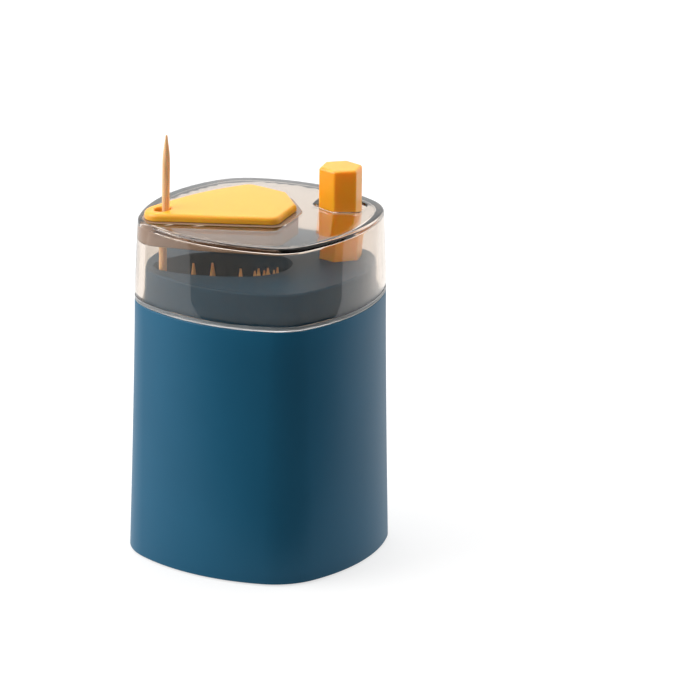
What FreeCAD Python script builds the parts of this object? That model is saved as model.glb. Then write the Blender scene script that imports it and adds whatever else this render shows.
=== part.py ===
import FreeCAD
import Part
import math
import os

# Push-button toothpick dispenser, in millimetres.
# Origin at the middle of the footprint on the table, +Z up.
# The plan is a rounded square standing on its corner: the outlet is over the -X
# corner and the button over the +X corner.
# The pose is the one with the button held down and one toothpick raised.

# Outer form
base_flat = 67.8            # across the flats at the foot
seam_flat = 64.7            # across the flats where the cover meets the shell
top_flat = 62.9             # across the flats at the cover's top
side_bulge_radius = 54.0    # the sides bow outwards, radius at the foot
base_corner_radius = 18.4
top_corner_radius = 14.0
foot_flare = 1.3            # power of the flare towards the foot
cover_taper = 1.25          # power of the cover's taper
shell_foot_z = 0.4          # the shell's lower rim, clear of the table
seam_z = 72.9
cover_top_z = 98.0          # at the middle of the dome

# Moulded walls
shell_wall = 2.4
ledge_width = 2.0
ledge_height = 1.6
foot_rim_round = 0.35
container_inset = 3.0       # from the outer form to the container's neck
container_wall = 1.6
skirt_bottom_z = 63.0
deck_z = 82.8
deck_thickness = 2.0
deck_edge_round = 0.6
cover_wall = 2.4
cover_top_thickness = 2.2
cover_edge_round = 0.9
dome_radius = 370.0         # the cover's top is slightly domed
seat_gap = 0.05             # cover's rim over the shell's rim

# Hopper: an egg-shaped well that narrows to the outlet
hopper_small_x = -23.5
hopper_small_radius = 6.0
hopper_big_x = -5.0
hopper_big_radius = 14.0
hopper_side_radius = 40.0
hopper_draft_small = 1.0    # how much smaller each end is at the floor
hopper_draft_big = 2.4
hopper_lean_small = 0.4     # how far each end's centre moves to -X at the floor
hopper_lean_big = 1.2
hopper_wall = 1.5
hopper_floor_z = 17.0
hopper_floor_thickness = 1.8

# Toothpicks
pick_length = 65.0
pick_radius = 1.05
pick_point_length = 8.0
pick_point_radius = 0.25
raised_pick_lean_deg = 0.7
pick_seat_gap = 0.05
loose_pick_x = 6.5          # first loose toothpick, from the hopper's small end
loose_pick_step = 4.8
loose_pick_gap = 1.3        # from the lever's channel to the loose toothpicks
bunch_from_big_x = 2.4      # the bunch's middle, from the hopper's big end
bunch_pitch = 2.35
bunch_rows = (3, 3, 2)

# Outlet insert and the pocket that carries it
insert_tip_x = -32.8
insert_tip_radius = 5.0
insert_side_x = -14.0       # middle of the bowed long side
insert_side_half = 12.5
insert_side_round = 90.0
insert_shoulder_x = 0.6
insert_half_width = 17.2
insert_end_x = 8.6
insert_end_half = 6.0
insert_shoulder_round = 3.0
insert_end_round = 1.2
smallest_round = 0.3
insert_proud = 2.2
insert_edge_round = 1.1
insert_seat_gap = 0.05
insert_plug_wall = 1.2
insert_plug_depth = 5.4
pocket_rim_grow = 1.5
pocket_rim_tip_grow = 0.6
pocket_rim_thickness = 1.0
pocket_wall_grow = 0.5
pocket_wall_tip_grow = 0.2
pocket_wall = 1.2
pocket_depth = 8.0
pocket_floor = 1.0
fit_gap = 0.1
outlet_x = -27.8
outlet_radius = 2.3
outlet_boss_wall = 1.0

# Button, rod and spring
button_x = 22.4
button_side = 6.2           # side of the hexagon
button_corner_round = 0.8
button_edge_round = 0.9
button_proud = 10.4         # above the cover, held down
button_bottom_z = 66.0
button_stroke = 11.5
button_socket_depth = 32.0
deck_hex_gap = 0.25
deck_hex_wall = 1.3
deck_hex_sleeve_z = 70.0
cover_hex_gap = 1.4
cover_hex_bevel = 0.7
rod_radius = 2.5
rod_fit = 0.05
foot_disc_radius = 4.2
foot_disc_thickness = 1.6
foot_gap = 0.3              # rod's foot over the lever's pad
stop_gap = 0.3
spring_wire = 0.9
spring_radius = 3.9         # to the middle of the wire
spring_turns = 6
spring_end_gap = 0.15

# Lever, axle and lifter
pick_lift = 38.0
lifter_slot_x = -26.6       # middle of the end pin's travel
cup_x = -27.45
cup_height = 4.0            # cup's bottom over the end pin
lever_thickness = 2.4
hub_radius = 3.0
hub_length = 9.6
axle_radius = 1.5
axle_fit = 0.05
axle_press = 0.01
axle_overhang = 0.9
clip_radius = 3.2
clip_thickness = 0.6
short_pad_radius = 2.2
short_pad_length = 4.4
arm_height_hub = 5.0
arm_height_end = 3.2
short_arm_drop = 0.6        # upper edge of the short arm under its pitch line
short_arm_height = 2.8
eye_radius = 1.9
pin_radius = 0.9
slot_play = 0.7             # above and below the pin
slot_end_play = 0.3
slot_wall = 1.0
slot_end_wall = 0.8
fork_gap = 0.3
fork_thickness = 1.4
lifter_guide_gap = 0.3
cup_radius = 2.3
cup_mouth_radius = 1.5
cup_rim = 1.6

# Channel in the hopper that hides the lever
channel_gap = 0.5
channel_wall = 1.2
channel_roof_gap = 1.0
lift_shaft_top_gap = 1.2    # over the cup at its highest
lift_shaft_bottom_z = 9.5
lift_shaft_wall = 1.2
lift_shaft_end_wall = 0.9

# Frame that carries the lever
cheek_thickness = 2.0
cheek_gap = 0.3
frame_x_min = 8.2
frame_x_max = 28.8
frame_floor = 2.0
bridge_thickness = 3.0
bridge_half_width = 5.6
bearing_rim = 2.6
screw_boss_radius = 2.5
frame_boss_height = 7.0
frame_screw_x = 16.6
frame_screw_y = 6.2

# Base plate, screws and feet
plate_recess = 1.0
plate_thickness = 2.0
plate_gap = 0.2
screw_radius = 1.2
screw_hole_gap = 0.05
screw_clear_gap = 0.2
screw_head_radius = 2.3
screw_head_height = 1.1
screw_length = 8.0
front_screws_x = -3.0
front_screws_y = 8.0
rear_screws_x = -17.0
rear_screws_y = 5.6
pad_radius = 4.0
pad_recess = 0.4
pad_reach = 25.0

# Places worked out from the sizes above
V = FreeCAD.Vector
root_two = math.sqrt(2.0)
up = V(0, 0, 1)
plate_bottom_z = shell_foot_z + plate_recess
plate_top_z = plate_bottom_z + plate_thickness
ledge_low_z = plate_top_z
ledge_high_z = skirt_bottom_z - ledge_height
button_top_z = cover_top_z + button_proud
insert_top_z = cover_top_z + insert_proud
pocket_bottom_z = cover_top_z - pocket_depth

# Lever geometry: the pin's and the pad's mean places lie under the cup and the rod,
# and the swing gives the button's stroke at one end and the lift at the other.
span = button_x - lifter_slot_x
swing = 2.0 * math.atan((pick_lift + button_stroke) / (4.0 * span))
long_arm = pick_lift / (2.0 * math.sin(swing))
short_arm = button_stroke / (2.0 * math.sin(swing))
axle_x = lifter_slot_x + long_arm * (1.0 + math.cos(swing)) / 2.0
axle_z = hopper_floor_z + pick_lift / 2.0 - cup_height
pin_z = axle_z + pick_lift / 2.0
pin_x = axle_x - long_arm * math.cos(swing)
pin_x_far = axle_x - long_arm
pad_z = axle_z - button_stroke / 2.0
foot_z = pad_z + short_pad_radius + foot_gap
bridge_z = foot_z + foot_disc_thickness + button_stroke + stop_gap
spring_seat_z = bridge_z + bridge_thickness
cup_z = pin_z + cup_height
shaft_top_z = cup_z + cup_rim + lift_shaft_top_gap
fork_half = lever_thickness / 2.0 + fork_gap
fork_outer = fork_half + fork_thickness
shaft_half = fork_outer + lifter_guide_gap
fork_x_min = pin_x_far - pin_radius - slot_end_play - slot_end_wall
fork_x_max = pin_x + pin_radius + slot_end_play + slot_end_wall
channel_half = lever_thickness / 2.0 + channel_gap
cheek_inner = hub_length / 2.0 + cheek_gap


def shell_flat(z):
    """Across the flats of the outer form at height z."""
    if z <= seam_z:
        share = (1.0 - z / seam_z) ** foot_flare
        return seam_flat + (base_flat - seam_flat) * share
    share = ((z - seam_z) / (cover_top_z - seam_z)) ** cover_taper
    return seam_flat - (seam_flat - top_flat) * share


def outline(z, inset=0.0):
    """The rounded square at height z, drawn inset inside the outer form."""
    flat = shell_flat(z)
    side_r = side_bulge_radius * flat / base_flat
    corner_r = base_corner_radius + (top_corner_radius - base_corner_radius) * z / cover_top_z
    k = (side_r - flat / 2.0) / root_two
    c = math.sqrt((side_r - corner_r) ** 2 - k * k) - k
    turn = math.atan2(k, c + k)
    edges = []
    for quarter in range(4):
        spin = quarter * math.pi / 2.0

        def spot(cx, cy, radius, angle):
            x = cx + radius * math.cos(angle)
            y = cy + radius * math.sin(angle)
            return V(x * math.cos(spin) - y * math.sin(spin), x * math.sin(spin) + y * math.cos(spin), z)

        corner = corner_r - inset
        side = side_r - inset
        edges.append(Part.Arc(spot(c, 0, corner, -turn), spot(c, 0, corner, 0),
                              spot(c, 0, corner, turn)).toShape())
        edges.append(Part.Arc(spot(-k, -k, side, turn), spot(-k, -k, side, math.pi / 4.0),
                              spot(-k, -k, side, math.pi / 2.0 - turn)).toShape())
    return Part.Wire(edges)


def column(z_low, z_high, inset, stations=3):
    """Solid between two heights that follows the outer form, inset inside it."""
    step = (z_high - z_low) / (stations - 1)
    return Part.makeLoft([outline(z_low + i * step, inset) for i in range(stations)], True)


def slab(x_low, x_high, y_low, y_high, z_low, z_high):
    """Rectangular block between six planes."""
    return Part.makeBox(x_high - x_low, y_high - y_low, z_high - z_low, V(x_low, y_low, z_low))


def rod(radius, x, y, z_low, z_high):
    """Upright round bar."""
    return Part.makeCylinder(radius, z_high - z_low, V(x, y, z_low), up)


def cross_rod(radius, x, z, half_length):
    """Round bar along Y, centred on the middle plane."""
    return Part.makeCylinder(radius, 2.0 * half_length, V(x, -half_length, z), V(0, 1, 0))


def grown(points, grow):
    """A convex polygon, given anticlockwise, with each side moved out by grow."""
    moved = []
    count = len(points)
    for i in range(count):
        (ax, ay), (bx, by) = points[i - 1], points[i]
        cx, cy = points[(i + 1) % count]
        first = math.atan2(by - ay, bx - ax)
        second = math.atan2(cy - by, cx - bx)
        half = (second - first) / 2.0
        reach = grow / math.cos(half)
        moved.append((bx + reach * math.sin(first + half), by - reach * math.cos(first + half)))
    return moved


def rounded_polygon(points, radii, z):
    """Wire of a convex polygon with a radius at each corner."""
    count = len(points)
    starts = []
    ends = []
    middles = []
    for i in range(count):
        corner = V(points[i][0], points[i][1], z)
        before = (V(points[i - 1][0], points[i - 1][1], z) - corner).normalize()
        after = (V(points[(i + 1) % count][0], points[(i + 1) % count][1], z) - corner).normalize()
        half = before.getAngle(after) / 2.0
        back = radii[i] / math.tan(half)
        inward = (before + after).normalize()
        starts.append(corner + before * back)
        ends.append(corner + after * back)
        middles.append(corner + inward * (radii[i] / math.sin(half) - radii[i]))
    edges = []
    for i in range(count):
        edges.append(Part.Arc(starts[i], middles[i], ends[i]).toShape())
        edges.append(Part.LineSegment(ends[i], starts[(i + 1) % count]).toShape())
    return Part.Wire(edges)


def raised(wire, height):
    """Prism over a flat wire."""
    return Part.Face(wire).extrude(V(0, 0, height))


def rounded_at(solid, z, radius):
    """Rounds every edge that lies flat at height z."""
    edges = [e for e in solid.Edges if abs(e.BoundBox.ZMin - z) < 1e-4 and abs(e.BoundBox.ZMax - z) < 1e-4]
    return solid.makeFillet(radius, edges)


def dome(offset):
    """Ball whose top is the cover's domed top, moved outwards by offset."""
    ball = Part.makeSphere(dome_radius + offset)
    ball.rotate(V(0, 0, 0), V(0, 1, 0), 90)
    ball.translate(V(0, 0, cover_top_z - dome_radius))
    return ball


def dome_height(x):
    """Height of the cover's top at distance x from the middle."""
    return cover_top_z - dome_radius + math.sqrt(dome_radius ** 2 - x ** 2)


def rounded_on_dome(solid, offset, radius):
    """Rounds every edge that lies on the dome moved outwards by offset."""
    centre = V(0, 0, cover_top_z - dome_radius)
    reach = dome_radius + offset
    edges = [e for e in solid.Edges
             if all(abs((p - centre).Length - reach) < 1e-4 for p in e.discretize(3))]
    return solid.makeFillet(radius, edges)


def hexagon(z, side, corner_round):
    """Hexagon round the button's axis with a corner towards +X."""
    points = [(button_x + side * math.cos(i * math.pi / 3.0), side * math.sin(i * math.pi / 3.0))
              for i in range(6)]
    return rounded_polygon(points, [corner_round] * 6, z)


def egg(z, grow=0.0):
    """The hopper's outline at height z: two round ends joined by bowed sides."""
    depth = (deck_z - z) / (deck_z - hopper_floor_z)
    small_x = hopper_small_x - hopper_lean_small * depth
    big_x = hopper_big_x - hopper_lean_big * depth
    small_r = hopper_small_radius - hopper_draft_small * depth + grow
    big_r = hopper_big_radius - hopper_draft_big * depth + grow
    side_r = hopper_side_radius + grow
    apart = big_x - small_x
    along = ((side_r - small_r) ** 2 - (side_r - big_r) ** 2 + apart ** 2) / (2.0 * apart)
    off = math.sqrt((side_r - small_r) ** 2 - along ** 2)
    small_angle = math.atan2(off, along)
    big_angle = math.atan2(off, along - apart)
    mid_angle = (small_angle + big_angle) / 2.0

    def side_spot(angle, flip):
        x = small_x + along - side_r * math.cos(angle)
        y = side_r * math.sin(angle) - off
        return V(x, y * flip, z)

    return Part.Wire([
        Part.Arc(side_spot(small_angle, -1), V(small_x - small_r, 0, z), side_spot(small_angle, 1)).toShape(),
        Part.Arc(side_spot(small_angle, 1), side_spot(mid_angle, 1), side_spot(big_angle, 1)).toShape(),
        Part.Arc(side_spot(big_angle, 1), V(big_x + big_r, 0, z), side_spot(big_angle, -1)).toShape(),
        Part.Arc(side_spot(big_angle, -1), side_spot(mid_angle, -1), side_spot(small_angle, -1)).toShape()])


def egg_column(z_low, z_high, grow=0.0):
    """Solid between two heights that follows the hopper's drafted walls."""
    return Part.makeLoft([egg(z_low, grow), egg(z_high, grow)], True, True)


def fan(z, grow, tip_grow):
    """The insert's fan outline, grown outwards, with its own growth at the tip."""
    centre_x = insert_tip_x + insert_tip_radius
    reach = math.hypot(insert_side_x - centre_x, insert_side_half)
    slope = math.atan2(insert_side_half, insert_side_x - centre_x) - math.asin(insert_tip_radius / reach)
    apex_x = insert_side_x - insert_side_half / math.tan(slope)
    lower = [(insert_side_x, -insert_side_half), (insert_shoulder_x, -insert_half_width),
             (insert_end_x, -insert_end_half)]
    upper = [(x, -y) for x, y in reversed(lower)]
    points = grown([(apex_x, 0.0)] + lower + upper, grow)
    tip_round = (insert_tip_x - tip_grow - points[0][0]) / (1.0 / math.sin(slope) - 1.0)
    side = insert_side_round + grow
    shoulder = max(insert_shoulder_round + grow, smallest_round)
    end = max(insert_end_round + grow, smallest_round)
    return rounded_polygon(points, [tip_round, side, shoulder, end, end, shoulder, side], z)


def pick_solid(x, y, z, lean_x_deg=0.0, lean_y_deg=0.0):
    """One double-pointed toothpick standing on its lower point."""
    profile = Part.makePolygon([
        V(0, 0, 0), V(pick_point_radius, 0, 0), V(pick_radius, 0, pick_point_length),
        V(pick_radius, 0, pick_length - pick_point_length), V(pick_point_radius, 0, pick_length),
        V(0, 0, pick_length), V(0, 0, 0)])
    pick = Part.Face(profile).revolve(V(0, 0, 0), up, 360)
    pick.rotate(V(0, 0, 0), V(0, 1, 0), lean_x_deg)
    pick.rotate(V(0, 0, 0), V(1, 0, 0), -lean_y_deg)
    pick.translate(V(x, y, z))
    return pick


def screw(x, y, z_low):
    """Pan-head screw driven upwards, its head at the bottom."""
    head = rod(screw_head_radius, x, y, z_low, z_low + screw_head_height)
    shank = rod(screw_radius, x, y, z_low, z_low + screw_head_height + screw_length)
    return head.fuse(shank).removeSplitter()


def housing_screw_places():
    return [(front_screws_x, front_screws_y), (front_screws_x, -front_screws_y),
            (rear_screws_x, rear_screws_y), (rear_screws_x, -rear_screws_y)]


def frame_screw_places():
    return [(frame_screw_x, frame_screw_y), (frame_screw_x, -frame_screw_y)]


def pad_places():
    return [(pad_reach, 0), (0, pad_reach), (-pad_reach, 0), (0, -pad_reach)]


def make_outer_shell():
    """Tapered sleeve with a ledge for the base plate and one for the container."""
    body = column(shell_foot_z, seam_z, 0.0)
    body = rounded_at(body, shell_foot_z, foot_rim_round)
    body = body.cut(column(shell_foot_z - 1.0, seam_z + 1.0, shell_wall))
    for z in (ledge_low_z, ledge_high_z):
        ring = column(z, z + ledge_height, shell_wall / 2.0, 2)
        ring = ring.cut(column(z - 1.0, z + ledge_height + 1.0, shell_wall + ledge_width, 2))
        body = body.fuse(ring)
    return body.removeSplitter()


def make_base_plate():
    """Plate screwed up under the shell's lower ledge, with recesses for the feet."""
    plate = column(plate_bottom_z, plate_top_z, shell_wall + plate_gap, 2)
    for x, y in housing_screw_places() + frame_screw_places():
        plate = plate.cut(rod(screw_radius + screw_clear_gap, x, y, plate_bottom_z - 1.0, plate_top_z + 1.0))
        plate = plate.cut(rod(screw_head_radius + screw_clear_gap, x, y, plate_bottom_z - 1.0,
                              plate_bottom_z + screw_head_height))
    for x, y in pad_places():
        plate = plate.cut(rod(pad_radius, x, y, plate_bottom_z - 1.0, plate_bottom_z + pad_recess))
    return plate


def make_foot_pads():
    """Four rubber discs stuck in the base plate's recesses."""
    return [rod(pad_radius, x, y, 0.0, plate_bottom_z + pad_recess) for x, y in pad_places()]


def make_screws(places):
    return [screw(x, y, plate_bottom_z) for x, y in places]


def lever_roof():
    """The lever's upper edge held down, as the channel's roof follows it."""
    slope = math.tan(swing)
    rise = (arm_height_hub / 2.0 + channel_roof_gap) / math.cos(swing)

    def roof_z(x):
        return axle_z + (axle_x - x) * slope + rise

    return roof_z


def channel_prism(x_low, x_high, z_low, lift, half_width):
    """Prism under the sloping roof of the lever's channel."""
    roof_z = lever_roof()
    profile = Part.makePolygon([
        V(x_low, -half_width, z_low), V(x_high, -half_width, z_low),
        V(x_high, -half_width, roof_z(x_high) + lift), V(x_low, -half_width, roof_z(x_low) + lift),
        V(x_low, -half_width, z_low)])
    return Part.Face(profile).extrude(V(0, 2.0 * half_width, 0))


def make_inner_container():
    """Neck, deck and hopper in one moulding, with the lever's channel inside."""
    neck = column(skirt_bottom_z, deck_z, container_inset)
    neck = rounded_at(neck, deck_z, deck_edge_round)
    neck = neck.cut(column(skirt_bottom_z - 1.0, deck_z - deck_thickness, container_inset + container_wall))

    floor_low_z = hopper_floor_z - hopper_floor_thickness
    tub = egg_column(floor_low_z, deck_z - deck_thickness / 2.0, hopper_wall)
    sleeve_outline = hexagon(deck_hex_sleeve_z, button_side + deck_hex_gap + deck_hex_wall,
                             button_corner_round + deck_hex_wall)
    sleeve = raised(sleeve_outline, deck_z - deck_thickness / 2.0 - deck_hex_sleeve_z)
    shaft_high_z = shaft_top_z + lift_shaft_wall
    shaft_outer = shaft_half + lift_shaft_wall
    shaft = slab(fork_x_min - lifter_guide_gap - lift_shaft_end_wall, hopper_small_x,
                 -shaft_outer, shaft_outer, lift_shaft_bottom_z, shaft_high_z)
    inside = raised(outline(shaft_high_z, shell_wall + fit_gap), lift_shaft_bottom_z - shaft_high_z)
    body = neck.fuse([tub, sleeve, shaft.common(inside)])
    for x, y in housing_screw_places():
        body = body.fuse(rod(screw_boss_radius, x, y, plate_top_z, floor_low_z + 0.5))

    well = egg_column(hopper_floor_z, deck_z + 0.001)
    body = body.cut(well)

    fin = channel_prism(fork_x_max + lifter_guide_gap, hopper_big_x + hopper_big_radius, floor_low_z,
                        channel_wall, channel_half + channel_wall)
    body = body.fuse(fin.common(egg_column(floor_low_z, deck_z, hopper_wall / 2.0)))
    body = body.cut(channel_prism(fork_x_max, hopper_big_x + hopper_big_radius + 2.0 * hopper_wall,
                                  plate_top_z, 0.0, channel_half))
    body = body.cut(slab(fork_x_min - lifter_guide_gap, fork_x_max + lifter_guide_gap,
                         -shaft_half, shaft_half, lift_shaft_bottom_z - 1.0, shaft_top_z))
    body = body.cut(raised(hexagon(deck_hex_sleeve_z - 1.0, button_side + deck_hex_gap, button_corner_round),
                           deck_z - deck_hex_sleeve_z + 2.0))
    for x, y in housing_screw_places():
        body = body.cut(rod(screw_radius + screw_hole_gap, x, y, plate_top_z - 1.0,
                            plate_bottom_z + screw_head_height + screw_length + 0.5))
    return body.removeSplitter()


def make_clear_cover():
    """Clear domed cap that drops over the neck, open for the pocket and the button."""
    above = cover_top_z + 1.0
    body = column(seam_z + seat_gap, above, 0.0).common(dome(0.0))
    body = rounded_on_dome(body, 0.0, cover_edge_round)
    body = body.cut(column(seam_z - 1.0, above, cover_wall).common(dome(-cover_top_thickness)))
    rim_seat = raised(fan(pocket_bottom_z, pocket_rim_grow + fit_gap, pocket_rim_tip_grow + fit_gap),
                      2.0 * pocket_depth)
    body = body.cut(rim_seat.cut(dome(-pocket_rim_thickness - seat_gap)))
    body = body.cut(raised(fan(pocket_bottom_z, pocket_wall_grow + fit_gap, pocket_wall_tip_grow + fit_gap),
                           2.0 * pocket_depth))
    hole_side = button_side + cover_hex_gap
    body = body.cut(raised(hexagon(pocket_bottom_z, hole_side, button_corner_round), 2.0 * pocket_depth))
    bevel_z = dome_height(button_x)
    bevel = Part.makeLoft([
        hexagon(bevel_z - cover_hex_bevel, hole_side, button_corner_round),
        hexagon(bevel_z + cover_hex_bevel, hole_side + 2.0 * cover_hex_bevel,
                button_corner_round + 2.0 * cover_hex_bevel)], True, True)
    return body.cut(bevel)


def make_outlet_pocket():
    """Tray that hangs in the cover and carries the insert."""
    height = 2.0 * pocket_depth
    rim = raised(fan(pocket_bottom_z, pocket_rim_grow, pocket_rim_tip_grow), height)
    rim = rim.common(dome(0.0)).cut(dome(-pocket_rim_thickness))
    wall = raised(fan(pocket_bottom_z, pocket_wall_grow, pocket_wall_tip_grow), height).common(dome(0.0))
    inner = raised(fan(pocket_bottom_z + pocket_floor, pocket_wall_grow - pocket_wall,
                       pocket_wall_tip_grow - pocket_wall), height)
    tray = rim.fuse(wall).cut(inner)
    return tray.cut(rod(outlet_radius, outlet_x, 0, pocket_bottom_z - 1.0, cover_top_z)).removeSplitter()


def make_outlet_insert():
    """Fan-shaped top plate with a plug rim below and the outlet through its tip."""
    plug_low_z = cover_top_z - insert_plug_depth
    height = insert_plug_depth + 2.0 * insert_proud
    plate = raised(fan(plug_low_z, 0.0, 0.0), height).common(dome(insert_proud)).cut(dome(insert_seat_gap))
    plate = rounded_on_dome(plate, insert_proud, insert_edge_round)
    middle = dome(insert_proud / 2.0)
    inset = pocket_wall - pocket_wall_grow + fit_gap
    tip_inset = pocket_wall - pocket_wall_tip_grow + fit_gap
    plug = raised(fan(plug_low_z, -inset, -tip_inset), height).common(middle)
    hollow = raised(fan(plug_low_z - 1.0, -inset - insert_plug_wall, -tip_inset - insert_plug_wall / 2.0),
                    height).common(dome(0.0))
    boss = rod(outlet_radius + outlet_boss_wall, outlet_x, 0, plug_low_z, plug_low_z + height)
    body = plate.fuse([plug.cut(hollow), boss.common(plug)])
    bore = rod(outlet_radius, outlet_x, 0, plug_low_z - 1.0, plug_low_z + 2.0 * height)
    return body.cut(bore).removeSplitter()


def make_push_button():
    """Hexagonal button, bored from below for the rod."""
    body = raised(hexagon(button_bottom_z, button_side, button_corner_round), button_top_z - button_bottom_z)
    body = rounded_at(body, button_top_z, button_edge_round)
    return body.cut(rod(rod_radius + axle_press, button_x, 0, button_bottom_z - 1.0,
                        button_bottom_z + button_socket_depth))


def make_push_rod():
    """Round rod with a foot disc that presses on the lever."""
    stem = rod(rod_radius, button_x, 0, foot_z, button_bottom_z + button_socket_depth)
    foot = rod(foot_disc_radius, button_x, 0, foot_z, foot_z + foot_disc_thickness)
    return stem.fuse(foot).removeSplitter()


def arc_middle(start, tangent, end):
    """Middle of the arc from start to end that leaves start along the tangent."""
    chord = end - start
    along = V(chord).normalize()
    side = (tangent - along * tangent.dot(along)).normalize()
    bend = tangent.getAngle(chord)
    return (start + end) * 0.5 + side * (chord.Length / 2.0 * math.tan(bend / 2.0))


def biarc(start, leave, end, arrive):
    """Two arcs that join smoothly and keep the directions at both ends."""
    step = end - start
    drift = step.dot(leave + arrive)
    spare = 2.0 * (1.0 - leave.dot(arrive))
    reach = (math.sqrt(drift ** 2 + spare * step.dot(step)) - drift) / spare
    joint = (start + end + (leave - arrive) * reach) * 0.5
    return [Part.Arc(start, arc_middle(start, leave, joint), joint).toShape(),
            Part.Arc(joint, arc_middle(end, arrive * -1.0, joint), end).toShape()]


def make_return_spring():
    """One unbroken compression spring round the rod, shown compressed."""
    low = spring_seat_z + spring_end_gap + spring_wire / 2.0
    high = button_bottom_z - spring_end_gap - spring_wire / 2.0
    pitch = (high - low) / spring_turns
    rise = pitch / (2.0 * math.pi * spring_radius)

    def spot(turns):
        angle = 2.0 * math.pi * turns
        across = V(math.cos(angle), math.sin(angle), 0) * spring_radius
        return across + V(button_x, 0, low + pitch * turns)

    def heading(turns):
        angle = 2.0 * math.pi * turns
        return V(-math.sin(angle), math.cos(angle), rise).normalize()

    edges = []
    for i in range(4 * spring_turns):
        edges += biarc(spot(i / 4.0), heading(i / 4.0), spot((i + 1) / 4.0), heading((i + 1) / 4.0))
    path = Part.Wire(edges)
    points = path.discretize(40 * spring_turns)
    gap = min((points[i] - points[j]).Length
              for i in range(len(points)) for j in range(i + 25, len(points)))
    print("spring least gap to itself", round(gap - spring_wire, 3))
    profile = Part.Wire([Part.makeCircle(spring_wire / 2.0, spot(0.0), heading(0.0))])
    return path.makePipeShell([profile], True, False)


def make_lever_frame():
    """Two cheeks on a foot, joined by a bridge that guides the rod."""
    cheek_outer = cheek_inner + cheek_thickness
    top_z = spring_seat_z
    profile = Part.makePolygon([
        V(frame_x_min, 0, plate_top_z), V(frame_x_max, 0, plate_top_z), V(frame_x_max, 0, top_z),
        V(button_x - bridge_half_width, 0, top_z), V(frame_x_min, 0, axle_z + axle_radius + bearing_rim),
        V(frame_x_min, 0, plate_top_z)])
    cheek = Part.Face(profile).extrude(V(0, cheek_thickness, 0))
    near = cheek.translated(V(0, -cheek_outer, 0))
    far = cheek.translated(V(0, cheek_inner, 0))
    foot = slab(frame_x_min, frame_x_max, -cheek_outer, cheek_outer, plate_top_z, plate_top_z + frame_floor)
    bridge = slab(button_x - bridge_half_width, frame_x_max, -cheek_outer, cheek_outer, bridge_z, top_z)
    stop = slab(button_x - short_pad_radius, button_x + short_pad_radius / 2.0,
                -short_pad_radius, short_pad_radius, plate_top_z, pad_z - short_pad_radius - stop_gap)
    body = foot.fuse([near, far, bridge, stop])
    for x, y in frame_screw_places():
        body = body.fuse(rod(screw_boss_radius, x, y, plate_top_z, plate_top_z + frame_boss_height))
    body = body.cut(rod(rod_radius + rod_fit, button_x, 0, bridge_z - 1.0, top_z + 1.0))
    body = body.cut(cross_rod(axle_radius + axle_press, axle_x, axle_z, cheek_outer + 1.0))
    for x, y in frame_screw_places():
        body = body.cut(rod(screw_radius + screw_hole_gap, x, y, plate_top_z - 1.0,
                            plate_bottom_z + screw_head_height + screw_length + 0.5))
    return body.removeSplitter()


def make_lever_axle():
    half = cheek_inner + cheek_thickness + clip_thickness + axle_overhang
    return cross_rod(axle_radius, axle_x, axle_z, half)


def make_axle_clips():
    """Two push-on washers that keep the axle in the cheeks."""
    clips = []
    outer = cheek_inner + cheek_thickness
    for y in (outer, -outer - clip_thickness):
        ring = Part.makeCylinder(clip_radius, clip_thickness, V(axle_x, y, axle_z), V(0, 1, 0))
        hole = Part.makeCylinder(axle_radius + axle_press, clip_thickness, V(axle_x, y, axle_z), V(0, 1, 0))
        clips.append(ring.cut(hole))
    return clips


def make_lift_lever():
    """Rocking lever, drawn level and then swung to its place with the button down."""
    half = lever_thickness / 2.0
    eye_x = axle_x - long_arm
    tip_x = axle_x + short_arm
    long_profile = Part.makePolygon([
        V(axle_x, -half, axle_z + arm_height_hub / 2.0), V(eye_x, -half, axle_z + arm_height_end / 2.0),
        V(eye_x, -half, axle_z - arm_height_end / 2.0), V(axle_x, -half, axle_z - arm_height_hub / 2.0),
        V(axle_x, -half, axle_z + arm_height_hub / 2.0)])
    short_top = axle_z - short_arm_drop
    short_profile = Part.makePolygon([
        V(axle_x, -half, short_top), V(axle_x, -half, axle_z - hub_radius),
        V(tip_x, -half, short_top - short_arm_height + short_arm_drop), V(tip_x, -half, short_top),
        V(axle_x, -half, short_top)])
    arms = [Part.Face(p).extrude(V(0, lever_thickness, 0)) for p in (long_profile, short_profile)]
    body = cross_rod(hub_radius, axle_x, axle_z, hub_length / 2.0)
    body = body.fuse(arms + [cross_rod(eye_radius, eye_x, axle_z, half),
                             cross_rod(short_pad_radius, tip_x, axle_z, short_pad_length / 2.0)])
    body = body.cut(cross_rod(axle_radius + axle_fit, axle_x, axle_z, hub_length))
    body = body.cut(cross_rod(pin_radius + axle_press, eye_x, axle_z, lever_thickness))
    body = body.removeSplitter()
    body.rotate(V(axle_x, 0, axle_z), V(0, 1, 0), math.degrees(swing))
    return body


def make_lever_pin():
    return cross_rod(pin_radius, pin_x, pin_z, fork_outer)


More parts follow.
